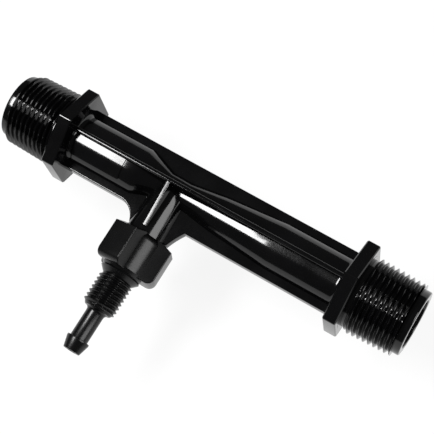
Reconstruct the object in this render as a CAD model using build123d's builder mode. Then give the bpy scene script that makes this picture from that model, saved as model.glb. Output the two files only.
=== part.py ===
"""Venturi injector that draws ozone gas into a water line, with a screwed-on check-valve nut.

The origin is on the flow axis, at the inlet thread's gauge plane. +X is downstream, the suction
side points along -Y, and +Z is the side that carries the front rib. Millimetres throughout.
Lengths along the flow are counted from the suction axis, which crosses it at SUCTION_X.
"""
import math
import os

from build123d import *

# Overall layout along the flow axis
INLET_LENGTH = 63.0  # suction axis to the inlet's end face
OUTLET_LENGTH = 90.8  # suction axis to the outlet's end face
GAUGE_LENGTH = 11.0  # inlet's end face to its thread's gauge plane, the origin
HEX_FLATS = 29.4  # across flats
HEX_CORNER_RADIUS = 0.8
HEX_THICKNESS = 4.7
HEX_CHAMFER = 0.35
THREAD_REACH = 20.7  # end face to the hex, at each end

# Tapered pipe thread at both ends, kept as a smooth surface over its crests
CREST_RADIUS_AT_HEX = 13.3
TAPER = 1 / 32  # radius lost per length
GAUGE_BAND = 9.2  # length over which the crests' cone is kept as a cylinder of its mean radius
LEAD_RING_RADIUS = 11.3
LEAD_RING_LENGTH = 2.5
LEAD_RING_CHAMFER = 0.5
THREAD_END_CHAMFER = 0.9
PAST = 1.0  # how far cuts run past a face, and joined forms run into each other

# Outside of the venturi tube
TUBE_RADIUS = 8.8
THROAT_OUTER_RADIUS = 5.2
CONTRACTION_START_X = -12.3
THROAT_START_X = -2.4
THROAT_END_X = 5.0
EXPANSION_MIDDLE_X = 18.0
EXPANSION_MIDDLE_RADIUS = 7.0
EXPANSION_END_X = 40.0
COLLAR_RADIUS = 10.6
COLLAR_LENGTH = 1.8
PAD_RISE = 0.4  # blank raised pad between the front rib and the suction side
PAD_HEX_GAP = 1.6
PAD_CONTRACTION_GAP = 4.7
PAD_LOW_ANGLE = 53.0  # from +Z towards -Y

# Long ribs: two thick ones in the plane of the suction side, two thin ones across it
RIB_REACH = 11.3
THICK_RIB = 3.4
THIN_RIB = 1.6
THIN_RIB_NOSE = 0.6
THICK_RIB_NOSE = 0.35

# Flow passage
MOUTH_RADIUS = 8.6
MOUTH_DEPTH = 18.0
PASSAGE_RADIUS = 6.5
MOUTH_STEP_LENGTH = 6.0
JET_RADIUS = 3.0
SUCTION_GROOVE_RADIUS = 4.0
SUCTION_GROOVE_HALF = 1.1
DIFFUSER_START_RADIUS = 3.4
DIFFUSER_END_RADIUS = 6.4

# Suction neck
NECK_STEP = 0.6  # neck's end outside the spigot
NECK_SHOULDER_Y = -18.3
SPIGOT_WALL = 1.45
SPIGOT_LENGTH = 9.2
SPIGOT_CHAMFER = 0.4
NECK_DRAFT = 0.85  # radius lost from the shoulder to the flow axis
NECK_WEB_HEIGHT = 0.85  # front web's height over the neck at its lower end
NECK_WEB_END = 1.8  # from that end to the neck's shoulder
NECK_WEB_TOP_DROP = 0.2
UPSTREAM_WEB_FOOT = 13.5  # where the side webs leave the thick rib
UPSTREAM_WEB_END = 1.7
UPSTREAM_WEB_HOLLOW = 7.7
DOWNSTREAM_WEB_FOOT = 11.5
DOWNSTREAM_WEB_REACH = 1.3  # past the neck, over the nut
WEB_NUT_GAP = 0.35
DOWNSTREAM_WEB_HOLLOW = 30.0
SUCTION_HOLE_RADIUS = 1.3
CHAMBER_LENGTH = 11.5  # from the seat to the spring's end

# Valve seat, ball and spring
SEAT_RADIUS = 4.95
SEAT_POCKET_CLEARANCE = 0.05
SEAT_HEIGHT = 3.0
SEAT_BORE_RADIUS = 1.6
SEAT_CONE_DEPTH = 1.7
BALL_RADIUS = 2.5
BALL_GAP = 0.03
BALL_SIDE_GAP = 1.1  # gas passes between the ball and the chamber
SPRING_RADIUS = 1.8
SPRING_WIRE_RADIUS = 0.25
SPRING_TURNS = 5
SPRING_END_GAP = 0.05

# Check-valve nut
NUT_TOP_GAP = 0.2
NUT_WALL = 1.45
NUT_SHOULDER_LENGTH = 1.9  # crowned top of the barrel
NUT_SHOULDER_DROP = 0.8
NUT_SHOULDER_ROUND = 2.65
NUT_FLOOR_THICKNESS = 3.1
NUT_BORE_CLEARANCE = 0.10
RING_GROOVE_DEPTH = 0.9
RING_GROOVE_WIDTH = 1.85
FLOOR_BOSS_GAP = 0.1
PASSAGE_HOLE_RADIUS = 1.5
SKIRT_TOP_RADIUS = 6.9
SKIRT_TOP_LENGTH = 1.4
SKIRT_CONE_RADIUS = 7.2
SKIRT_STEP_LENGTH = 0.6
SKIRT_CONE_LENGTH = 2.1
LUG_COUNT = 3
LUG_WIDTH = 9.6
LUG_HEIGHT = 3.3
LUG_FIRST_ANGLE = -23.0  # from +Z towards +X
LUG_NECK_GAP = 0.2
LUG_TOP_RISE = 0.4  # above the barrel, beside the neck
LUG_TOP_SLOPE = 1.3  # fall of the lug's top on its way out
LUG_OVERHANG = 0.8  # below the barrel's rim
LUG_TOP_ROUND = 0.5
LUG_BOTTOM_ROUND = 2.6
LUG_EDGE_ROUND = 0.4

# Threaded end, stem and hose barb of the nut
SMALL_CREST_RADIUS = 6.0
SMALL_ROOT_RADIUS = 5.2
SMALL_THREAD_LENGTH = 10.8
SMALL_THREAD_NOSE = 1.0
SMALL_THREAD_STEP = 0.4
STEM_RADIUS = 3.15
STEM_FILLET = 1.3
BARB_RADIUS = 4.0
STEM_LENGTH = 12.0
BARB_LAND = 0.6
TIP_RADIUS = 2.95
TIP_CHAMFER = 0.3
BARB_LENGTH = 4.5

# O-ring between the nut's floor and the spigot
RING_SQUEEZE_GAP = 0.01

# Radii that follow from the fits
SEAT_POCKET_RADIUS = SEAT_RADIUS + SEAT_POCKET_CLEARANCE
CHAMBER_RADIUS = BALL_RADIUS + BALL_SIDE_GAP
SPIGOT_RADIUS = SEAT_POCKET_RADIUS + SPIGOT_WALL
NECK_RADIUS = SPIGOT_RADIUS + NECK_STEP
NECK_ROOT_RADIUS = NECK_RADIUS - NECK_DRAFT
NECK_WEB_REACH = NECK_RADIUS + NECK_WEB_HEIGHT
NUT_BORE_RADIUS = SPIGOT_RADIUS + NUT_BORE_CLEARANCE
NUT_RADIUS = NUT_BORE_RADIUS + NUT_WALL
LUG_REACH = NUT_RADIUS + LUG_HEIGHT
FLOOR_BOSS_RADIUS = NUT_BORE_RADIUS - RING_GROOVE_WIDTH
RING_MEAN_RADIUS = (FLOOR_BOSS_RADIUS + NUT_BORE_RADIUS) / 2
RING_WIRE_RADIUS = RING_GROOVE_DEPTH / 2 - RING_SQUEEZE_GAP

# Places down the suction axis, each from the one above it
SPIGOT_END_Y = NECK_SHOULDER_Y - SPIGOT_LENGTH
CHAMBER_TOP_Y = SPIGOT_END_Y + SEAT_HEIGHT + CHAMBER_LENGTH
NUT_TOP_Y = NECK_SHOULDER_Y - NUT_TOP_GAP
LUG_TOP_Y = NUT_TOP_Y + LUG_TOP_RISE
NUT_FLOOR_Y = SPIGOT_END_Y - RING_GROOVE_DEPTH
NUT_RIM_Y = NUT_FLOOR_Y - NUT_FLOOR_THICKNESS
LUG_BOTTOM_Y = NUT_RIM_Y - LUG_OVERHANG
SKIRT_TOP_Y = NUT_RIM_Y - SKIRT_TOP_LENGTH
SKIRT_CONE_Y = SKIRT_TOP_Y - SKIRT_STEP_LENGTH
SKIRT_END_Y = SKIRT_CONE_Y - SKIRT_CONE_LENGTH
SMALL_THREAD_END_Y = SKIRT_END_Y - SMALL_THREAD_LENGTH
BARB_Y = SMALL_THREAD_END_Y - STEM_LENGTH
TIP_Y = BARB_Y - BARB_LENGTH

# Places along the flow
SUCTION_X = INLET_LENGTH - GAUGE_LENGTH
IN_HEX_END = -(INLET_LENGTH - THREAD_REACH)
IN_HEX_BODY = IN_HEX_END + HEX_THICKNESS
OUT_HEX_END = OUTLET_LENGTH - THREAD_REACH
OUT_HEX_BODY = OUT_HEX_END - HEX_THICKNESS

# Planes through the point where the two axes cross
CROSSING = Vector(SUCTION_X, 0, 0)
SUCTION_AXIS = Axis(CROSSING, (0, 1, 0))
ALONG_FLOW = Plane(origin=CROSSING, x_dir=(0, 1, 0), z_dir=(1, 0, 0))
FROM_FRONT = Plane(origin=CROSSING, x_dir=(1, 0, 0), z_dir=(0, 0, 1))
FROM_BELOW = Plane(origin=CROSSING, x_dir=(1, 0, 0), z_dir=(0, -1, 0))


def end_thread_profile(end_x, hex_x):
    """Outline of one end in the plane z=0, from the hex to the end face and back to the axis."""
    way = 1 if end_x > hex_x else -1
    thread_end = end_x - way * LEAD_RING_LENGTH
    crest_end = CREST_RADIUS_AT_HEX - abs(thread_end - hex_x) * TAPER
    gauge_x = end_x - way * GAUGE_LENGTH
    gauge_radius = CREST_RADIUS_AT_HEX - abs(gauge_x - hex_x) * TAPER
    return [
        (hex_x, 0),
        (hex_x, CREST_RADIUS_AT_HEX),
        (gauge_x - way * GAUGE_BAND / 2, gauge_radius),
        (gauge_x + way * GAUGE_BAND / 2, gauge_radius),
        (thread_end - way * THREAD_END_CHAMFER, crest_end),
        (thread_end, LEAD_RING_RADIUS),
        (end_x - way * LEAD_RING_CHAMFER, LEAD_RING_RADIUS),
        (end_x, LEAD_RING_RADIUS - LEAD_RING_CHAMFER),
        (end_x, 0),
    ]


# One moulding: threads, hexes, tube, ribs, suction neck and every passage
with BuildPart() as injector_body:
    # The tube follows the passage inside it: contraction, throat, long expansion
    with BuildSketch(FROM_FRONT):
        with BuildLine():
            Polyline(
                (IN_HEX_BODY - PAST, 0),
                (IN_HEX_BODY - PAST, TUBE_RADIUS),
                (CONTRACTION_START_X, TUBE_RADIUS),
                (THROAT_START_X, THROAT_OUTER_RADIUS),
                (THROAT_END_X, THROAT_OUTER_RADIUS),
                (EXPANSION_MIDDLE_X, EXPANSION_MIDDLE_RADIUS),
                (EXPANSION_END_X, TUBE_RADIUS),
                (OUT_HEX_BODY + PAST, TUBE_RADIUS),
                (OUT_HEX_BODY + PAST, 0),
                close=True,
            )
        make_face()
    revolve(axis=Axis.X)
    # Blank raised pad, a band of the tube's wall
    pad_start = IN_HEX_BODY + PAD_HEX_GAP
    with BuildSketch(ALONG_FLOW.offset(pad_start)):
        with BuildLine():
            pad_radius = TUBE_RADIUS + PAD_RISE
            low = math.radians(PAD_LOW_ANGLE)
            pad_arc = ThreePointArc(
                (0, pad_radius),
                (-pad_radius * math.sin(low / 2), pad_radius * math.cos(low / 2)),
                (-pad_radius * math.sin(low), pad_radius * math.cos(low)),
            )
            Polyline(pad_arc @ 1, (0, 0), pad_arc @ 0)
        make_face()
    extrude(amount=CONTRACTION_START_X - PAD_CONTRACTION_GAP - pad_start)
    # Thick ribs in the plane of the suction side, with the neck's side webs in the same outline
    upstream_end = (-NECK_RADIUS, NECK_SHOULDER_Y + UPSTREAM_WEB_END)
    downstream_end = (NECK_RADIUS + DOWNSTREAM_WEB_REACH, LUG_TOP_Y + WEB_NUT_GAP)
    with BuildSketch(FROM_FRONT.offset(-THICK_RIB / 2)):
        with BuildLine():
            ribs = Polyline(
                (DOWNSTREAM_WEB_FOOT, -RIB_REACH),
                (OUT_HEX_BODY + PAST, -RIB_REACH),
                (OUT_HEX_BODY + PAST, RIB_REACH),
                (IN_HEX_BODY - PAST, RIB_REACH),
                (IN_HEX_BODY - PAST, -RIB_REACH),
                (-UPSTREAM_WEB_FOOT, -RIB_REACH),
            )
            RadiusArc(ribs @ 1, upstream_end, UPSTREAM_WEB_HOLLOW)
            Polyline(upstream_end, (0, upstream_end[1]), (0, downstream_end[1]), downstream_end)
            RadiusArc(downstream_end, ribs @ 0, DOWNSTREAM_WEB_HOLLOW)
        make_face()
    extrude(amount=THICK_RIB)
    thick_noses = injector_body.edges().filter_by(
        lambda e: abs(abs(e.center().Z) - THICK_RIB / 2) < 0.01 and abs(e.center().Y) > RIB_REACH - 0.01
    )
    fillet(thick_noses, radius=THICK_RIB_NOSE)
    # Thin ribs to the front and the back, with rounded noses
    with BuildSketch(ALONG_FLOW.offset(IN_HEX_BODY - PAST)):
        thin = Rectangle(THIN_RIB, 2 * RIB_REACH)
        fillet(thin.vertices(), radius=THIN_RIB_NOSE)
    extrude(amount=OUT_HEX_BODY - IN_HEX_BODY + 2 * PAST)
    # Front and back webs of the neck slope down from the thin ribs to the nut
    web_end_y = NECK_SHOULDER_Y + NECK_WEB_END
    for face in (1, -1):
        web_top = Vector(SUCTION_X, 0, face * (RIB_REACH - NECK_WEB_TOP_DROP))
        web_low = Vector(SUCTION_X, web_end_y, face * NECK_WEB_REACH)
        slope = web_low - web_top
        inward = Vector(face, 0, 0).cross(slope).normalized()
        with BuildSketch(Plane(origin=web_top, x_dir=inward, z_dir=slope)):
            with Locations((RIB_REACH / 2, 0)):
                web = Rectangle(RIB_REACH, THIN_RIB)
            noses = web.vertices().sort_by(Axis(web_top, inward))[:2]
            fillet(noses, radius=THIN_RIB_NOSE)
        extrude(amount=slope.length)
    # Neck, drafted so that it widens towards the nut
    with BuildSketch(FROM_FRONT):
        with BuildLine():
            Polyline(
                (0, 0),
                (NECK_ROOT_RADIUS, 0),
                (NECK_RADIUS, NECK_SHOULDER_Y),
                (SPIGOT_RADIUS, NECK_SHOULDER_Y),
                (SPIGOT_RADIUS, SPIGOT_END_Y + SPIGOT_CHAMFER),
                (SPIGOT_RADIUS - SPIGOT_CHAMFER, SPIGOT_END_Y),
                (0, SPIGOT_END_Y),
                close=True,
            )
        make_face()
    revolve(axis=SUCTION_AXIS)
    # Hexes with rounded corners and a small chamfer round both faces
    for plane_x in (IN_HEX_END, OUT_HEX_BODY):
        with BuildSketch(ALONG_FLOW.offset(plane_x)):
            hexagon = RegularPolygon(radius=HEX_FLATS / 2, side_count=6, major_radius=False, rotation=30)
            fillet(hexagon.vertices(), radius=HEX_CORNER_RADIUS)
        extrude(amount=HEX_THICKNESS)
        hex_rims = injector_body.edges(Select.LAST).filter_by(
            lambda e: abs(e.tangent_at(0.5).X) < 0.01
            and math.hypot(e.center().Y, e.center().Z) > HEX_FLATS / 2 - 0.01
        )
        chamfer(hex_rims, length=HEX_CHAMFER)
    # Collars where the ribs run into the hexes
    for hex_x, way in ((IN_HEX_BODY, 1), (OUT_HEX_BODY, -1)):
        with BuildSketch(FROM_FRONT):
            with BuildLine():
                collar_end = hex_x + way * COLLAR_LENGTH
                Line((hex_x, 0), (hex_x, COLLAR_RADIUS))
                Spline(
                    (hex_x, COLLAR_RADIUS),
                    (collar_end, TUBE_RADIUS),
                    tangents=((way * 0.25, -1), (way, 0)),
                )
                Polyline((collar_end, TUBE_RADIUS), (collar_end, 0), (hex_x, 0))
            make_face()
        revolve(axis=Axis.X)
    # Both threaded ends
    for end_x, hex_x in ((-INLET_LENGTH, IN_HEX_END), (OUTLET_LENGTH, OUT_HEX_END)):
        with BuildSketch(FROM_FRONT):
            with BuildLine():
                Polyline(*end_thread_profile(end_x, hex_x), close=True)
            make_face()
        revolve(axis=Axis.X)
    # Flow passage: mouths, contraction to the jet, suction groove, diffuser
    with BuildSketch(FROM_FRONT):
        with BuildLine():
            Polyline(
                (-INLET_LENGTH - PAST, 0),
                (-INLET_LENGTH - PAST, MOUTH_RADIUS),
                (-INLET_LENGTH + MOUTH_DEPTH, MOUTH_RADIUS),
                (-INLET_LENGTH + MOUTH_DEPTH + MOUTH_STEP_LENGTH, PASSAGE_RADIUS),
                (CONTRACTION_START_X, PASSAGE_RADIUS),
                (THROAT_START_X, JET_RADIUS),
                (-SUCTION_GROOVE_HALF, JET_RADIUS),
                (-SUCTION_GROOVE_HALF, SUCTION_GROOVE_RADIUS),
                (SUCTION_GROOVE_HALF, SUCTION_GROOVE_RADIUS),
                (SUCTION_GROOVE_HALF, DIFFUSER_START_RADIUS),
                (EXPANSION_END_X, DIFFUSER_END_RADIUS),
                (OUTLET_LENGTH - MOUTH_DEPTH - MOUTH_STEP_LENGTH, PASSAGE_RADIUS),
                (OUTLET_LENGTH - MOUTH_DEPTH, MOUTH_RADIUS),
                (OUTLET_LENGTH + PAST, MOUTH_RADIUS),
                (OUTLET_LENGTH + PAST, 0),
                close=True,
            )
        make_face()
    revolve(axis=Axis.X, mode=Mode.SUBTRACT)
    # Suction hole, check chamber and the seat's pocket
    with BuildSketch(FROM_FRONT):
        with BuildLine():
            Polyline(
                (0, 0),
                (SUCTION_HOLE_RADIUS, 0),
                (SUCTION_HOLE_RADIUS, CHAMBER_TOP_Y),
                (CHAMBER_RADIUS, CHAMBER_TOP_Y),
                (CHAMBER_RADIUS, SPIGOT_END_Y + SEAT_HEIGHT),
                (SEAT_POCKET_RADIUS, SPIGOT_END_Y + SEAT_HEIGHT),
                (SEAT_POCKET_RADIUS, SPIGOT_END_Y - PAST),
                (0, SPIGOT_END_Y - PAST),
                close=True,
            )
        make_face()
    revolve(axis=SUCTION_AXIS, mode=Mode.SUBTRACT)

# Nut: barrel with three lugs, threaded end, stem and barb in one moulding
barrel_top = (NUT_RADIUS, NUT_TOP_Y - NUT_SHOULDER_LENGTH)
stem_top = (STEM_RADIUS + STEM_FILLET, SMALL_THREAD_END_Y - SMALL_THREAD_NOSE)
stem_start = (STEM_RADIUS, stem_top[1] - STEM_FILLET)
with BuildPart() as suction_cap:
    with BuildSketch(FROM_FRONT):
        with BuildLine():
            Line((0, NUT_TOP_Y), (NUT_RADIUS - NUT_SHOULDER_DROP, NUT_TOP_Y))
            RadiusArc((NUT_RADIUS - NUT_SHOULDER_DROP, NUT_TOP_Y), barrel_top, NUT_SHOULDER_ROUND)
            Polyline(
                barrel_top,
                (NUT_RADIUS, NUT_RIM_Y),
                (SKIRT_TOP_RADIUS, SKIRT_TOP_Y),
                (SKIRT_CONE_RADIUS, SKIRT_CONE_Y),
                (SMALL_ROOT_RADIUS, SKIRT_END_Y),
                (SMALL_CREST_RADIUS, SKIRT_END_Y - (SMALL_CREST_RADIUS - SMALL_ROOT_RADIUS)),
                (SMALL_CREST_RADIUS, SMALL_THREAD_END_Y),
                (SMALL_ROOT_RADIUS, SMALL_THREAD_END_Y - SMALL_THREAD_STEP),
                stem_top,
            )
            RadiusArc(stem_top, stem_start, -STEM_FILLET)
            Polyline(
                stem_start,
                (STEM_RADIUS, BARB_Y),
                (BARB_RADIUS, BARB_Y),
                (BARB_RADIUS, BARB_Y - BARB_LAND),
                (TIP_RADIUS, TIP_Y + TIP_CHAMFER),
                (TIP_RADIUS - TIP_CHAMFER, TIP_Y),
                (0, TIP_Y),
                (0, NUT_TOP_Y),
            )
        make_face()
    revolve(axis=SUCTION_AXIS)
    # Lugs: one outline with a sloped top and a rounded lower corner, turned about the axis
    lug_inner = NECK_RADIUS + LUG_NECK_GAP
    for lug in range(LUG_COUNT):
        turn = math.radians(LUG_FIRST_ANGLE + 360 / LUG_COUNT * lug)
        out = Vector(math.sin(turn), 0, math.cos(turn))
        side = out.cross(Vector(0, 1, 0))
        with BuildSketch(Plane(origin=CROSSING - side * (LUG_WIDTH / 2), x_dir=out, z_dir=side)):
            with BuildLine():
                Polyline(
                    (0, LUG_BOTTOM_Y),
                    (0, LUG_TOP_Y),
                    (lug_inner, LUG_TOP_Y),
                    (LUG_REACH, LUG_TOP_Y - LUG_TOP_SLOPE),
                    (LUG_REACH, LUG_BOTTOM_Y),
                    close=True,
                )
            outline = make_face()
            low_corner, high_corner = outline.vertices().group_by(Axis.X)[-1].sort_by(Axis.Y)
            fillet(low_corner, radius=LUG_BOTTOM_ROUND)
            fillet(high_corner, radius=LUG_TOP_ROUND)
        extrude(amount=LUG_WIDTH)
        lug_rims = suction_cap.edges(Select.LAST).filter_by(
            lambda e: abs(abs((e.center() - CROSSING).dot(side)) - LUG_WIDTH / 2) < 0.01
            and abs(e.tangent_at(0.5).dot(side)) < 0.01
            and (e.center() - CROSSING).dot(out) > NUT_RADIUS
        )
        fillet(lug_rims, radius=LUG_EDGE_ROUND)
    # Bore over the spigot, ring groove round the floor boss, and the hole through the stem
    with BuildSketch(FROM_FRONT):
        with BuildLine():
            Polyline(
                (0, NUT_TOP_Y + PAST),
                (lug_inner, NUT_TOP_Y + PAST),
                (lug_inner, NUT_TOP_Y),
                (NUT_BORE_RADIUS, NUT_TOP_Y),
                (NUT_BORE_RADIUS, NUT_FLOOR_Y),
                (FLOOR_BOSS_RADIUS, NUT_FLOOR_Y),
                (FLOOR_BOSS_RADIUS, SPIGOT_END_Y - FLOOR_BOSS_GAP),
                (PASSAGE_HOLE_RADIUS, SPIGOT_END_Y - FLOOR_BOSS_GAP),
                (PASSAGE_HOLE_RADIUS, TIP_Y - PAST),
                (0, TIP_Y - PAST),
                close=True,
            )
        make_face()
    revolve(axis=SUCTION_AXIS, mode=Mode.SUBTRACT)

# O-ring in the nut's floor
with BuildPart() as cap_o_ring:
    with BuildSketch(FROM_FRONT):
        with Locations((RING_MEAN_RADIUS, (SPIGOT_END_Y + NUT_FLOOR_Y) / 2)):
            Circle(RING_WIRE_RADIUS)
    revolve(axis=SUCTION_AXIS)

# Seat ring: a cone that centres the ball over its hole
seat_top = SPIGOT_END_Y + SEAT_HEIGHT
with BuildPart() as valve_seat:
    with BuildSketch(FROM_FRONT):
        with BuildLine():
            Polyline(
                (SEAT_BORE_RADIUS, SPIGOT_END_Y),
                (SEAT_RADIUS, SPIGOT_END_Y),
                (SEAT_RADIUS, seat_top),
                (SEAT_BORE_RADIUS + SEAT_CONE_DEPTH, seat_top),
                (SEAT_BORE_RADIUS, seat_top - SEAT_CONE_DEPTH),
                close=True,
            )
        make_face()
    revolve(axis=SUCTION_AXIS)

# Ball resting in the cone
cone_apex_y = seat_top - SEAT_CONE_DEPTH - SEAT_BORE_RADIUS
ball_y = cone_apex_y + math.sqrt(2) * (BALL_RADIUS + BALL_GAP)
with BuildPart() as check_ball:
    with BuildSketch(FROM_FRONT):
        with BuildLine():
            Line((0, ball_y - BALL_RADIUS), (0, ball_y + BALL_RADIUS))
            ThreePointArc(
                (0, ball_y + BALL_RADIUS), (BALL_RADIUS, ball_y), (0, ball_y - BALL_RADIUS)
            )
        make_face()
    revolve(axis=SUCTION_AXIS)

# Light spring from the chamber's end to the ball
ball_touch = math.sqrt(BALL_RADIUS**2 - SPRING_RADIUS**2)
spring_low = ball_y + ball_touch + SPRING_WIRE_RADIUS + 3 * SPRING_END_GAP
spring_high = CHAMBER_TOP_Y - SPRING_WIRE_RADIUS - SPRING_END_GAP
with BuildPart() as check_spring:
    with BuildLine():
        coil = Helix(
            pitch=(spring_high - spring_low) / SPRING_TURNS,
            height=spring_high - spring_low,
            radius=SPRING_RADIUS,
            center=(SUCTION_X, spring_low, 0),
            direction=(0, 1, 0),
        )
    with BuildSketch(Plane(origin=coil @ 0, z_dir=coil % 0)):
        Circle(SPRING_WIRE_RADIUS)
    sweep(path=coil)

os.makedirs("parts", exist_ok=True)
for name, piece in {
    "injector_body": injector_body,
    "suction_cap": suction_cap,
    "cap_o_ring": cap_o_ring,
    "valve_seat": valve_seat,
    "check_ball": check_ball,
    "check_spring": check_spring,
}.items():
    piece.part.label = name
    export_step(piece.part, f"parts/{name}.step")
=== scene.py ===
"""Looks of a moulded venturi ozone injector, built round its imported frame.

Everything is in metres in the frame's own axes: +X downstream, -Y towards the hose barb and
+Z towards the rib that faces the camera. Sizes in the classes are in millimetres.
"""

import logging
import math
from dataclasses import dataclass, field
from enum import Enum
from typing import Sequence, Union

import bmesh
import bpy
from mathutils import Matrix, Vector

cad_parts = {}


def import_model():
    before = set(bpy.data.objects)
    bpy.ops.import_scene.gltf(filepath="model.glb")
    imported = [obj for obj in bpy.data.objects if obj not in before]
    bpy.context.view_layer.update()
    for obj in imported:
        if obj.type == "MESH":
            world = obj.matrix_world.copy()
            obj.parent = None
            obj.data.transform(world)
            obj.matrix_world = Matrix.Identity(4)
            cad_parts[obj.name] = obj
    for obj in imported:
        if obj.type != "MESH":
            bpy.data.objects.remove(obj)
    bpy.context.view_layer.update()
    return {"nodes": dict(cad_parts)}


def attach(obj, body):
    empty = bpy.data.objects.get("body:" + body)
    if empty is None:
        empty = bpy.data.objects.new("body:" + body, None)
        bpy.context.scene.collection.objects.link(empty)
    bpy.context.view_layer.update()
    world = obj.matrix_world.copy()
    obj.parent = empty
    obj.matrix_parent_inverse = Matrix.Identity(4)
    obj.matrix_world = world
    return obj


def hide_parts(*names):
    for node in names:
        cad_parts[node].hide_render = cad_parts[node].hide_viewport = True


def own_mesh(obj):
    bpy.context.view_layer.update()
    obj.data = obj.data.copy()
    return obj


LOG = logging.getLogger("injector")
MM = 0.001
IMAGE_SIDE = 434
SUCTION_X = 52.0
WHITE = (1.0, 1.0, 1.0, 1.0)
WELD = 2e-6
HAIR = 1e-7
SHARP_EDGE = 32.0

Number = Union[int, float]


class Flow(Enum):
    """Which way an end of the body points along the flow axis."""

    UPSTREAM = -1
    DOWNSTREAM = 1


class Signal:
    """A shader socket whose arithmetic writes Math nodes."""

    def __init__(self, graph: "Graph", socket: bpy.types.NodeSocket) -> None:
        """Wraps an output socket.

        Args:
            graph: the node tree that the socket belongs to.
            socket: the output to build on.
        """
        self.graph = graph
        self.socket = socket

    def _join(self, operation: str, *terms: Union["Signal", Number]) -> "Signal":
        """Adds one Math node.

        Args:
            operation: the Math node's operation.
            terms: its inputs in order.

        Returns:
            The node's result.
        """
        return self.graph.add(
            "ShaderNodeMath", {"operation": operation}, dict(enumerate(terms))
        )

    def __add__(self, other: Union["Signal", Number]) -> "Signal":
        """Sum."""
        return self._join("ADD", self, other)

    __radd__ = __add__

    def __mul__(self, other: Union["Signal", Number]) -> "Signal":
        """Product."""
        return self._join("MULTIPLY", self, other)

    def between(self, low: Number, high: Number) -> "Signal":
        """Rescales the span low to high onto 0 to 1, clamped.

        Args:
            low: the value that becomes 0.
            high: the value that becomes 1.

        Returns:
            The rescaled signal.
        """
        return self.graph.add(
            "ShaderNodeMapRange", {"clamp": True}, {0: self, 1: low, 2: high, 3: 0.0, 4: 1.0}
        )


class Graph:
    """The node tree of one finish."""

    def __init__(self, name: str) -> None:
        """Starts a material with nothing but its output.

        Args:
            name: the material's name.
        """
        self.material = bpy.data.materials.new(name)
        self.material.use_nodes = True
        self.tree = self.material.node_tree
        self.tree.nodes.clear()
        self.output = self.tree.nodes.new("ShaderNodeOutputMaterial")

    def add(
        self,
        kind: str,
        settings: dict[str, object],
        inputs: dict[Union[int, str], object],
        result: Union[int, str] = 0,
    ) -> Signal:
        """Adds one node.

        Args:
            kind: the node's type name.
            settings: properties to set before the sockets.
            inputs: values, or signals to link, by socket name or number.
            result: the output to return.

        Returns:
            The chosen output.
        """
        node = self.tree.nodes.new(kind)
        for key, value in settings.items():
            setattr(node, key, value)
        for key, value in inputs.items():
            if isinstance(value, Signal):
                self.tree.links.new(value.socket, node.inputs[key])
            else:
                node.inputs[key].default_value = value
        return Signal(self, node.outputs[result])

    def place(self, scale: float) -> Signal:
        """Gives the object coordinates times a scale.

        Args:
            scale: how many pattern units go into a metre.

        Returns:
            The scaled position.
        """
        where = self.add("ShaderNodeTexCoord", {}, {}, "Object")
        return self.add(
            "ShaderNodeVectorMath", {"operation": "SCALE"}, {0: where, "Scale": scale}
        )

    def noise(self, scale: float, detail: float, rough: float) -> Signal:
        """Fractal noise on the object's own coordinates.

        Args:
            scale: cells in a metre.
            detail: octaves.
            rough: how much the small octaves count.

        Returns:
            The noise value, about 0 to 1.
        """
        return self.add(
            "ShaderNodeTexNoise",
            {},
            {"Vector": self.place(scale), "Scale": 1.0, "Detail": detail, "Roughness": rough},
        )

    def blend(self, share: Signal, low: Sequence[float], high: Sequence[float]) -> Signal:
        """Mixes two colours.

        Args:
            share: how much of the second colour.
            low: the first colour.
            high: the second colour.

        Returns:
            The mixed colour.
        """
        return self.add(
            "ShaderNodeMix",
            {"data_type": "RGBA"},
            {"Factor": share, 6: (*low, 1.0), 7: (*high, 1.0)},
            2,
        )

    def bump(self, height: Signal) -> Signal:
        """Turns a height into a normal.

        Args:
            height: the height in metres.

        Returns:
            The bumped normal.
        """
        return self.add(
            "ShaderNodeBump", {}, {"Height": height, "Distance": 1.0, "Strength": 1.0}
        )

    def paper(self, albedo: float, glow: float) -> bpy.types.Material:
        """Closes the tree as white paper that the camera and reflections see paler than it is lit.

        Args:
            albedo: the paper's own colour.
            glow: share of pure white that those rays see.

        Returns:
            The finished material.
        """
        grain = self.noise(6.0, 2.0, 0.5)
        tone = self.blend(grain, (albedo,) * 3, (albedo * 1.04,) * 3)
        matt = self.add("ShaderNodeBsdfDiffuse", {}, {"Color": tone})
        white = self.add("ShaderNodeEmission", {}, {"Color": WHITE, "Strength": 1.0})
        seen = self.add("ShaderNodeLightPath", {}, {}, "Is Camera Ray")
        seen += self.add("ShaderNodeLightPath", {}, {}, "Is Glossy Ray")
        seen += self.add("ShaderNodeLightPath", {}, {}, "Is Transmission Ray")
        share = seen.between(0.0, 1.0) * glow
        mix = self.add("ShaderNodeMixShader", {}, {0: share, 1: matt, 2: white})
        self.tree.links.new(mix.socket, self.output.inputs["Surface"])
        return self.material

    def finish(self, inputs: dict[str, object]) -> bpy.types.Material:
        """Closes the tree with a Principled shader.

        Args:
            inputs: its sockets' values or signals.

        Returns:
            The finished material.
        """
        shader = self.add("ShaderNodeBsdfPrincipled", {}, inputs)
        self.tree.links.new(shader.socket, self.output.inputs["Surface"])
        return self.material


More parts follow.
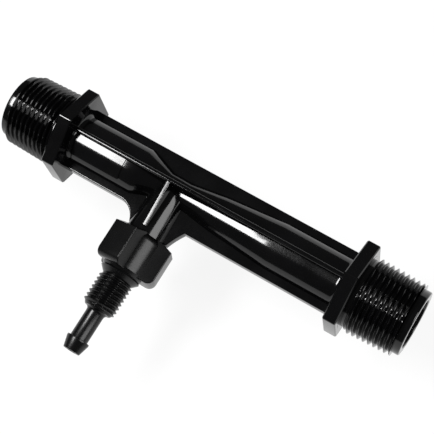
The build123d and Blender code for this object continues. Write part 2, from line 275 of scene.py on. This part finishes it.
@dataclass(frozen=True)
class MouldedPlastic:
    """Injection-moulded plastic: an even colour with the mould's faint grain and flow marks."""

    name: str
    colour: tuple[float, float, float]
    faded: tuple[float, float, float]
    gloss_low: float = 0.22
    gloss_high: float = 0.34
    shine: float = 0.5
    grain: float = 0.0000025
    ripple: float = 0.000008

    def make(self) -> bpy.types.Material:
        """Builds the material.

        Returns:
            The material.
        """
        graph = Graph(self.name)
        cloud = graph.noise(90.0, 3.0, 0.55)
        fine = graph.noise(2600.0, 2.0, 0.5)
        wave = graph.noise(260.0, 2.0, 0.4)
        tone = (cloud * 0.75 + fine * 0.25).between(0.35, 0.7)
        height = wave * self.ripple + fine * self.grain
        return graph.finish(
            {
                "Base Color": graph.blend(tone, self.colour, self.faded),
                "Roughness": self.gloss_low
                + (cloud * 0.6 + fine * 0.4).between(0.3, 0.72)
                * (self.gloss_high - self.gloss_low),
                "Specular IOR Level": self.shine,
                "Normal": graph.bump(height),
            }
        )


@dataclass(frozen=True)
class SoftRubber:
    """Matt seal rubber with a dusty bloom."""

    name: str
    colour: tuple[float, float, float]
    bloom: tuple[float, float, float]
    grain: float = 0.00001

    def make(self) -> bpy.types.Material:
        """Builds the material.

        Returns:
            The material.
        """
        graph = Graph(self.name)
        dust = graph.noise(700.0, 4.0, 0.6)
        return graph.finish(
            {
                "Base Color": graph.blend(dust.between(0.4, 0.75), self.colour, self.bloom),
                "Roughness": 0.6 + dust * 0.25,
                "Normal": graph.bump(dust * self.grain),
            }
        )


@dataclass(frozen=True)
class DrawnWire:
    """Spring wire with fine drawing marks."""

    name: str
    colour: tuple[float, float, float]
    grain: float = 0.000004
    shade: float = 0.7

    def make(self) -> bpy.types.Material:
        """Builds the material.

        Returns:
            The material.
        """
        graph = Graph(self.name)
        marks = graph.noise(4000.0, 3.0, 0.6)
        dark = tuple(channel * self.shade for channel in self.colour)
        return graph.finish(
            {
                "Base Color": graph.blend(marks.between(0.3, 0.7), dark, self.colour),
                "Metallic": 1.0,
                "Roughness": 0.22 + marks * 0.2,
                "Normal": graph.bump(marks * self.grain),
            }
        )


BLACK = MouldedPlastic(
    "black_moulding", (0.0010, 0.0010, 0.0011), (0.0022, 0.0022, 0.0024), 0.08, 0.15, 0.38
)
BLACK_NUT = MouldedPlastic(
    "black_nut_moulding", (0.0010, 0.0010, 0.0011), (0.0022, 0.0022, 0.0024), 0.24, 0.31, 0.3
)
SEAT_WHITE = MouldedPlastic(
    "seat_moulding", (0.62, 0.61, 0.57), (0.74, 0.73, 0.69), 0.35, 0.5
)
BALL_WHITE = MouldedPlastic(
    "ball_moulding", (0.7, 0.69, 0.65), (0.8, 0.79, 0.76), 0.25, 0.35
)
SEAL = SoftRubber("seal_rubber", (0.012, 0.012, 0.012), (0.03, 0.03, 0.029))
WIRE = DrawnWire("spring_wire", (0.62, 0.62, 0.6))


def piece_from(
    name: str, shape: bmesh.types.BMesh, finish: bpy.types.Material, sharp: float
) -> bpy.types.Object:
    """Turns a bmesh into a scene object with smooth faces and crisp edges.

    Args:
        name: the piece's name.
        shape: the bmesh, freed afterwards.
        finish: its material.
        sharp: angle in degrees above which an edge stays crisp.

    Returns:
        The new object.
    """
    limit = math.radians(sharp)
    for face in shape.faces:
        face.smooth = True
    for edge in shape.edges:
        edge.smooth = len(edge.link_faces) == 2 and edge.calc_face_angle(0.0) < limit
    mesh = bpy.data.meshes.new(name)
    shape.to_mesh(mesh)
    shape.free()
    mesh.materials.append(finish)
    made = bpy.data.objects.new(name, mesh)
    bpy.context.scene.collection.objects.link(made)
    return made


def merged_copy(node: bpy.types.Object) -> bmesh.types.BMesh:
    """Copies a frame node's loose triangles into one joined bmesh.

    Args:
        node: the frame's object.

    Returns:
        The joined copy.
    """
    shape = bmesh.new()
    shape.from_mesh(node.data)
    bmesh.ops.remove_doubles(shape, verts=shape.verts[:], dist=WELD)
    return shape


def cut_and_cap(shape: bmesh.types.BMesh, at: Vector, outward: Vector) -> None:
    """Cuts away everything beyond a plane and closes the ring that is left.

    Args:
        shape: the bmesh to cut.
        at: a point on the plane.
        outward: the plane's normal, towards what goes.
    """
    geometry = shape.verts[:] + shape.edges[:] + shape.faces[:]
    bmesh.ops.bisect_plane(
        shape, geom=geometry, dist=HAIR, plane_co=at, plane_no=outward, clear_outer=True
    )
    rim = [edge for edge in shape.edges if edge.is_boundary]
    bmesh.ops.bridge_loops(shape, edges=rim)


def spun_ring(
    profile: Sequence[tuple[float, float]],
    along: Vector,
    centre: Vector,
    steps: int,
) -> bmesh.types.BMesh:
    """Spins a closed outline round an axis into a closed ring.

    Args:
        profile: (distance along the axis, radius) corners in millimetres.
        along: the axis direction.
        centre: the axis's zero point, in metres.
        steps: how many segments go round.

    Returns:
        The ring as a bmesh with outward faces.
    """
    shape = bmesh.new()
    out = along.orthogonal().normalized()
    corners = [
        shape.verts.new(centre + along * (s * MM) + out * (r * MM)) for s, r in profile
    ]
    edges = [
        shape.edges.new((corners[i], corners[(i + 1) % len(corners)]))
        for i in range(len(corners))
    ]
    bmesh.ops.spin(
        shape,
        geom=corners + edges,
        cent=centre,
        axis=along,
        angle=2 * math.pi,
        steps=steps,
        use_merge=True,
    )
    bmesh.ops.remove_doubles(shape, verts=shape.verts[:], dist=HAIR)
    bmesh.ops.recalc_face_normals(shape, faces=shape.faces[:])
    return shape


def joined(parts: Sequence[bmesh.types.BMesh]) -> bmesh.types.BMesh:
    """Puts several bmeshes into one.

    Args:
        parts: the shapes, freed afterwards.

    Returns:
        One bmesh holding them all.
    """
    whole = bmesh.new()
    for part in parts:
        mesh = bpy.data.meshes.new("part")
        part.to_mesh(mesh)
        part.free()
        whole.from_mesh(mesh)
        bpy.data.meshes.remove(mesh)
    return whole


def rounded(
    corners: Sequence[tuple[float, float, float]], steps: int = 4
) -> list[tuple[float, float]]:
    """Rounds the corners of an outline.

    Args:
        corners: (along, radius, rounding) of each corner; a rounding of 0 keeps it crisp.
        steps: segments in each arc.

    Returns:
        The outline's points.
    """
    points: list[tuple[float, float]] = []
    count = len(corners)
    for index, (x, y, r) in enumerate(corners):
        here = Vector((x, y))
        before = Vector(corners[index - 1][:2]) - here
        after = Vector(corners[(index + 1) % count][:2]) - here
        if r <= 0.0:
            points.append((x, y))
            continue
        before.normalize()
        after.normalize()
        turn = math.acos(max(-1.0, min(1.0, before.dot(after))))
        if abs(math.pi - turn) < 0.05:
            points.append((x, y))
            continue
        reach = r / math.tan(turn / 2)
        start, end = here + before * reach, here + after * reach
        middle = here + (before + after).normalized() * (r / math.sin(turn / 2))
        for step in range(steps + 1):
            spoke = (start - middle).slerp(end - middle, step / steps)
            points.append(tuple(middle + spoke.normalized() * r))
    return points


@dataclass
class Thread:
    """A moulded V thread: ridges that follow a helix and fade out at both ends.

    Distances are along the axis from its zero point, towards the free end.
    """

    start: float
    end: float
    crest_at_start: float
    taper: float
    pitch: float
    depth: float
    phase: float
    fade_start: float
    fade_end: float
    truncation: float = 0.06
    softness: float = 0.04
    rows_per_pitch: int = 16
    reach: float = 0.02

    def rows(self) -> list[float]:
        """Distances of the outline's points through the thread.

        Returns:
            The distances, from start to end.
        """
        count = max(2, round((self.end - self.start) / self.pitch * self.rows_per_pitch))
        return [self.start + (self.end - self.start) * i / count for i in range(count + 1)]

    def crest(self, s: float) -> float:
        """Crest radius at a distance.

        Args:
            s: the distance along the axis.

        Returns:
            The radius in millimetres.
        """
        return self.crest_at_start - (s - self.start) * self.taper

    def drop(self, s: float, turn: float) -> float:
        """How far the surface lies below the crests.

        Args:
            s: the distance along the axis.
            turn: angle round the axis over a full turn, 0 to 1, right-handed.

        Returns:
            The drop in millimetres.
        """
        where = (s - self.phase) / self.pitch - turn
        away = abs(where - round(where)) * 2.0
        ramp = (away - self.truncation) / (1.0 - 2.0 * self.truncation)
        soft = self.softness
        low = 0.5 * (ramp + math.sqrt(ramp * ramp + soft * soft))
        cut = 1.0 - 0.5 * ((1.0 - low) + math.sqrt((1.0 - low) ** 2 + soft * soft))
        begin = min(1.0, max(0.0, (s - self.start) / self.fade_start))
        finish = min(1.0, max(0.0, (self.end - s) / self.fade_end))
        share = cut * begin * finish + (1.0 - begin * finish)
        return self.depth * share

    def carve(self, shape: bmesh.types.BMesh, centre: Vector, along: Vector) -> None:
        """Sinks the grooves into a spun surface.

        Args:
            shape: the bmesh whose outer points lie on the crests' surface.
            centre: the axis's zero point, in metres.
            along: the axis direction, towards the free end.
        """
        out = along.orthogonal().normalized()
        side = along.cross(out)
        for vert in shape.verts:
            offset = vert.co - centre
            s = offset.dot(along) / MM
            ray = offset - along * offset.dot(along)
            radius = ray.length / MM
            if not self.start - 1e-6 <= s <= self.end + 1e-6:
                continue
            if abs(radius - self.crest(s)) > self.reach:
                continue
            turn = math.atan2(ray.dot(side), ray.dot(out)) / (2 * math.pi)
            drop = self.drop(s, turn)
            vert.co -= ray.normalized() * (drop * MM)


@dataclass
class ThreadedEnd:
    """One end of the body: pipe thread, smooth lead ring and the mouth."""

    flow: Flow
    hex_face: float
    tip: float
    overlap: float = 0.05
    crest_radius: float = 13.3
    taper: float = 1 / 32
    pitch: float = 1.87
    depth: float = 1.25
    ring_radius: float = 11.3
    ring_length: float = 2.5
    mouth_radius: float = 8.6
    mouth_depth: float = 18.0
    passage_radius: float = 6.5
    step_length: float = 6.0
    thread_start: float = 1.35
    thread_phase: float = 2.4
    run_in: float = 0.55
    run_out: float = 0.25
    mouth_round: float = 0.35
    ring_round: float = 0.45
    columns: int = 128

    def build(self) -> bmesh.types.BMesh:
        """Makes the closed shell of the end.

        Returns:
            The shell in the frame's place.
        """
        length = abs(self.tip - self.hex_face)
        along = Vector((float(self.flow.value), 0.0, 0.0))
        centre = Vector((self.hex_face * MM, 0.0, 0.0))
        thread = Thread(
            start=self.thread_start,
            end=length - self.ring_length,
            crest_at_start=self.crest_radius,
            taper=self.taper,
            pitch=self.pitch,
            depth=self.depth,
            phase=self.thread_phase,
            fade_start=self.run_in,
            fade_end=self.run_out,
        )
        root = thread.crest_at_start - thread.depth
        inner_at_cut = self.passage_radius + (self.mouth_radius - self.passage_radius) * (
            (self.step_length - (length - self.mouth_depth + self.overlap)) / self.step_length
        )
        outline = rounded(
            [
                (-self.overlap, inner_at_cut, 0.0),
                (length - self.mouth_depth, self.mouth_radius, 0.0),
                (length, self.mouth_radius, self.mouth_round),
                (length, self.ring_radius, self.ring_round),
                (thread.end + 0.05, self.ring_radius, 0.0),
                (thread.end + 0.02, thread.crest(thread.end) - thread.depth, 0.0),
            ]
        )
        outline += [(s, thread.crest(s)) for s in reversed(thread.rows())]
        outline += [(thread.start - 0.01, root), (-self.overlap, root)]
        shell = spun_ring(outline, along, centre, self.columns)
        thread.carve(shell, centre, along)
        bmesh.ops.recalc_face_normals(shell, faces=shell.faces[:])
        return shell


@dataclass
class Body:
    """The one-piece moulding: tube, ribs, neck and both threaded ends."""

    node: bpy.types.Object
    inlet: ThreadedEnd = field(
        default_factory=lambda: ThreadedEnd(Flow.UPSTREAM, hex_face=9.7, tip=-11.0)
    )
    outlet: ThreadedEnd = field(
        default_factory=lambda: ThreadedEnd(Flow.DOWNSTREAM, hex_face=122.1, tip=142.8)
    )

    def build(self) -> bmesh.types.BMesh:
        """Joins the middle of the moulding to its threaded ends.

        Returns:
            The whole moulding.
        """
        middle = merged_copy(self.node)
        for end in (self.inlet, self.outlet):
            outward = Vector((float(end.flow.value), 0.0, 0.0))
            face = (end.hex_face + end.flow.value * end.overlap) * MM
            cut_and_cap(middle, Vector((face, 0.0, 0.0)), outward)
        return joined([middle, self.inlet.build(), self.outlet.build()])

    def dress(self) -> bpy.types.Object:
        """Makes the piece, gives it its finish and puts it on its body.

        Returns:
            The piece.
        """
        piece = piece_from("body_moulding", self.build(), BLACK.make(), SHARP_EDGE)
        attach(piece, "body")
        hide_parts("injector_body")
        return piece


@dataclass
class HoseEnd:
    """The nut's lower end: hose-nut thread, stem, barb and the hole through them."""

    cut_y: float = -35.0
    hole_radius: float = 1.5
    root_radius: float = 5.2
    crest_radius: float = 6.0
    skirt_end_y: float = -35.6
    thread_end_y: float = -46.4
    nose: float = 1.0
    stem_radius: float = 3.15
    stem_fillet: float = 1.3
    barb_y: float = -58.4
    barb_radius: float = 4.0
    barb_land: float = 0.6
    tip_y: float = -62.9
    tip_radius: float = 2.95
    pitch: float = 1.5
    depth: float = 0.8
    thread_phase: float = 37.0
    thread_fade: float = 0.3
    end_step: float = 0.55
    columns: int = 96

    def build(self, skirt: float) -> bmesh.types.BMesh:
        """Makes the closed shell of the hose end.

        Args:
            skirt: radius of the skirt's cone where the shell begins.

        Returns:
            The shell in the frame's place.
        """
        along = Vector((0.0, -1.0, 0.0))
        centre = Vector((SUCTION_X * MM, 0.0, 0.0))
        thread = Thread(
            start=-self.skirt_end_y,
            end=-self.thread_end_y + 0.2,
            crest_at_start=self.crest_radius,
            taper=0.0,
            pitch=self.pitch,
            depth=self.depth,
            phase=self.thread_phase,
            fade_start=self.thread_fade,
            fade_end=self.thread_fade,
        )
        shoulder = -self.thread_end_y + self.nose
        head = [
            (-self.cut_y, self.hole_radius, 0.0),
            (-self.tip_y, self.hole_radius, 0.15),
            (-self.tip_y, self.tip_radius, 0.3),
            (-self.barb_y + self.barb_land, self.barb_radius, 0.3),
            (-self.barb_y, self.barb_radius, 0.15),
            (-self.barb_y, self.stem_radius, 0.1),
            (shoulder, self.stem_radius, self.stem_fillet),
            (shoulder, self.root_radius - self.end_step, 0.25),
            (thread.end + 0.05, self.root_radius, 0.0),
        ]
        outline = rounded(head)
        outline += [(s, thread.crest(s)) for s in reversed(thread.rows())]
        outline += [(thread.start - 0.05, self.root_radius), (-self.cut_y, skirt)]
        shell = spun_ring(outline, along, centre, self.columns)
        thread.carve(shell, centre, along)
        bmesh.ops.recalc_face_normals(shell, faces=shell.faces[:])
        return shell


@dataclass
class Nut:
    """The check-valve nut with its hose end."""

    node: bpy.types.Object
    hose_end: HoseEnd = field(default_factory=HoseEnd)
    skirt_top_y: float = -33.5
    skirt_top_radius: float = 7.2

    def build(self) -> bmesh.types.BMesh:
        """Joins the nut to its hose end.

        Returns:
            The whole nut.
        """
        end = self.hose_end
        share = (self.skirt_top_y - end.cut_y) / (self.skirt_top_y - end.skirt_end_y)
        radius = self.skirt_top_radius + (end.root_radius - self.skirt_top_radius) * share
        head = merged_copy(self.node)
        cut_and_cap(head, Vector((0.0, end.cut_y * MM, 0.0)), Vector((0.0, -1.0, 0.0)))
        return joined([head, end.build(radius)])

    def dress(self) -> bpy.types.Object:
        """Makes the piece, gives it its finish and puts it on its body.

        Returns:
            The piece.
        """
        piece = piece_from("nut_moulding", self.build(), BLACK_NUT.make(), SHARP_EDGE)
        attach(piece, "nut")
        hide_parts("suction_cap")
        return piece


@dataclass
class Spring:
    """The coil that holds the ball on its seat; in the real valve it shortens as the ball lifts.
    """

    node: bpy.types.Object
    ball_lift: float = 3.0
    wire: float = 0.5

    def dress(self) -> bpy.types.Object:
        """Makes the coil from a copy of the frame's node and puts it on the body.

        Returns:
            The piece.
        """
        piece = piece_from("spring_coil", merged_copy(self.node), WIRE.make(), 40.0)
        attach(piece, "body")
        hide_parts("check_spring")
        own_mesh(piece)
        return piece


@dataclass
class Valve:
    """The pieces closed in by the neck and nut that keep their shape: ring, seat and ball."""

    nodes: dict[str, bpy.types.Object]

    def dress(self) -> list[bpy.types.Object]:
        """Gives the carried-over nodes their finishes.

        Returns:
            The dressed nodes.
        """
        finishes = {
            "cap_o_ring": SEAL.make(),
            "valve_seat": SEAT_WHITE.make(),
            "check_ball": BALL_WHITE.make(),
        }
        for name, material in finishes.items():
            data = self.nodes[name].data
            data.materials.clear()
            data.materials.append(material)
        return [self.nodes[name] for name in finishes]


@dataclass
class StripLamp:
    """A soft rectangular lamp that looks at the middle of the object."""

    name: str
    towards: Vector
    distance: float
    width: float
    length: float
    watts: float

    def build(self, target: Vector) -> bpy.types.Object:
        """Hangs the lamp.

        Args:
            target: the point it faces.

        Returns:
            The lamp's object.
        """
        data = bpy.data.lights.new(self.name, "AREA")
        data.shape = "RECTANGLE"
        data.size = self.length
        data.size_y = self.width
        data.energy = self.watts
        lamp = bpy.data.objects.new(self.name, data)
        bpy.context.scene.collection.objects.link(lamp)
        back = self.towards.normalized()
        side = Vector((1.0, 0.0, 0.0))
        side = (side - back * side.dot(back)).normalized()
        up = back.cross(side)
        turn = Matrix((side, up, back)).transposed().to_4x4()
        lamp.matrix_world = Matrix.Translation(target + back * self.distance) @ turn
        return lamp


@dataclass
class Studio:
    """Floor, lamps, sky and camera."""

    floor_z: float = -0.034
    floor_albedo: float = 0.8
    floor_glow: float = 0.9
    floor_half: float = 3.0
    sky_strength: float = 0.08
    eye: Vector = field(default_factory=lambda: Vector((0.1715, -0.088836, 0.388932)))
    turn: Matrix = field(
        default_factory=lambda: Matrix(
            (
                (0.847245, -0.469716, 0.248078),
                (0.520818, 0.82642, -0.213958),
                (-0.104517, 0.310478, 0.944817),
            )
        )
    )
    focal_pixels: float = 1248.709

    def camera(self) -> None:
        """Sets the camera at the photograph's place."""
        data = bpy.data.cameras.new("camera")
        data.sensor_width = 36.0
        data.lens = self.focal_pixels / IMAGE_SIDE * data.sensor_width
        data.clip_start, data.clip_end = 0.01, 20.0
        camera = bpy.data.objects.new("camera", data)
        bpy.context.scene.collection.objects.link(camera)
        camera.matrix_world = Matrix.Translation(self.eye) @ self.turn.to_4x4()
        bpy.context.scene.camera = camera

    def lamps(self) -> list[bpy.types.Object]:
        """Hangs a tall soft box up and to the left, and a broad soft lamp low on the right.

        Returns:
            The lamps.
        """
        target = Vector((SUCTION_X * MM, 0.0, 0.0))
        rows = [
            StripLamp(
                "lamp_box",
                towards=Vector((-0.71, -0.31, 1.38)),
                distance=1.6,
                width=0.76,
                length=0.42,
                watts=38.0,
            ),
            StripLamp(
                "lamp_side",
                towards=Vector((0.80, 0.15, 0.58)),
                distance=1.0,
                width=0.40,
                length=0.80,
                watts=6.5,
            ),
        ]
        return [row.build(target) for row in rows]

    def sky(self) -> None:
        """Fills the world with a plain soft light."""
        world = bpy.data.worlds.new("sky")
        bpy.context.scene.world = world
        world.use_nodes = True
        soft = world.node_tree.nodes["Background"]
        soft.inputs["Color"].default_value = WHITE
        soft.inputs["Strength"].default_value = self.sky_strength

    def floor(self) -> bpy.types.Object:
        """Lays a plain pale floor below the object.

        Returns:
            The floor.
        """
        shape = bmesh.new()
        bmesh.ops.create_grid(shape, x_segments=1, y_segments=1, size=self.floor_half)
        bmesh.ops.translate(shape, verts=shape.verts[:], vec=(0.06, 0.0, self.floor_z))
        graph = Graph("pale_floor")
        paper = graph.paper(self.floor_albedo, self.floor_glow)
        made = piece_from("floor", shape, paper, SHARP_EDGE)
        return made

    def build(self) -> None:
        """Sets everything round the object."""
        self.floor()
        self.lamps()
        self.sky()
        self.camera()
        bpy.context.scene.view_settings.view_transform = "Standard"


def main() -> None:
    """Builds the pieces in order, then the studio."""
    logging.basicConfig(level=logging.INFO, format="%(name)s: %(message)s")
    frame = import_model()
    nodes = frame["nodes"]
    Studio().build()
    made = [Body(nodes["injector_body"]).dress(), Nut(nodes["suction_cap"]).dress()]
    made.append(Spring(nodes["check_spring"]).dress())
    made += Valve(nodes).dress()
    for piece in made:
        LOG.info("%s: %d faces", piece.name, len(piece.data.polygons))


if __name__ == "__main__":
    main()
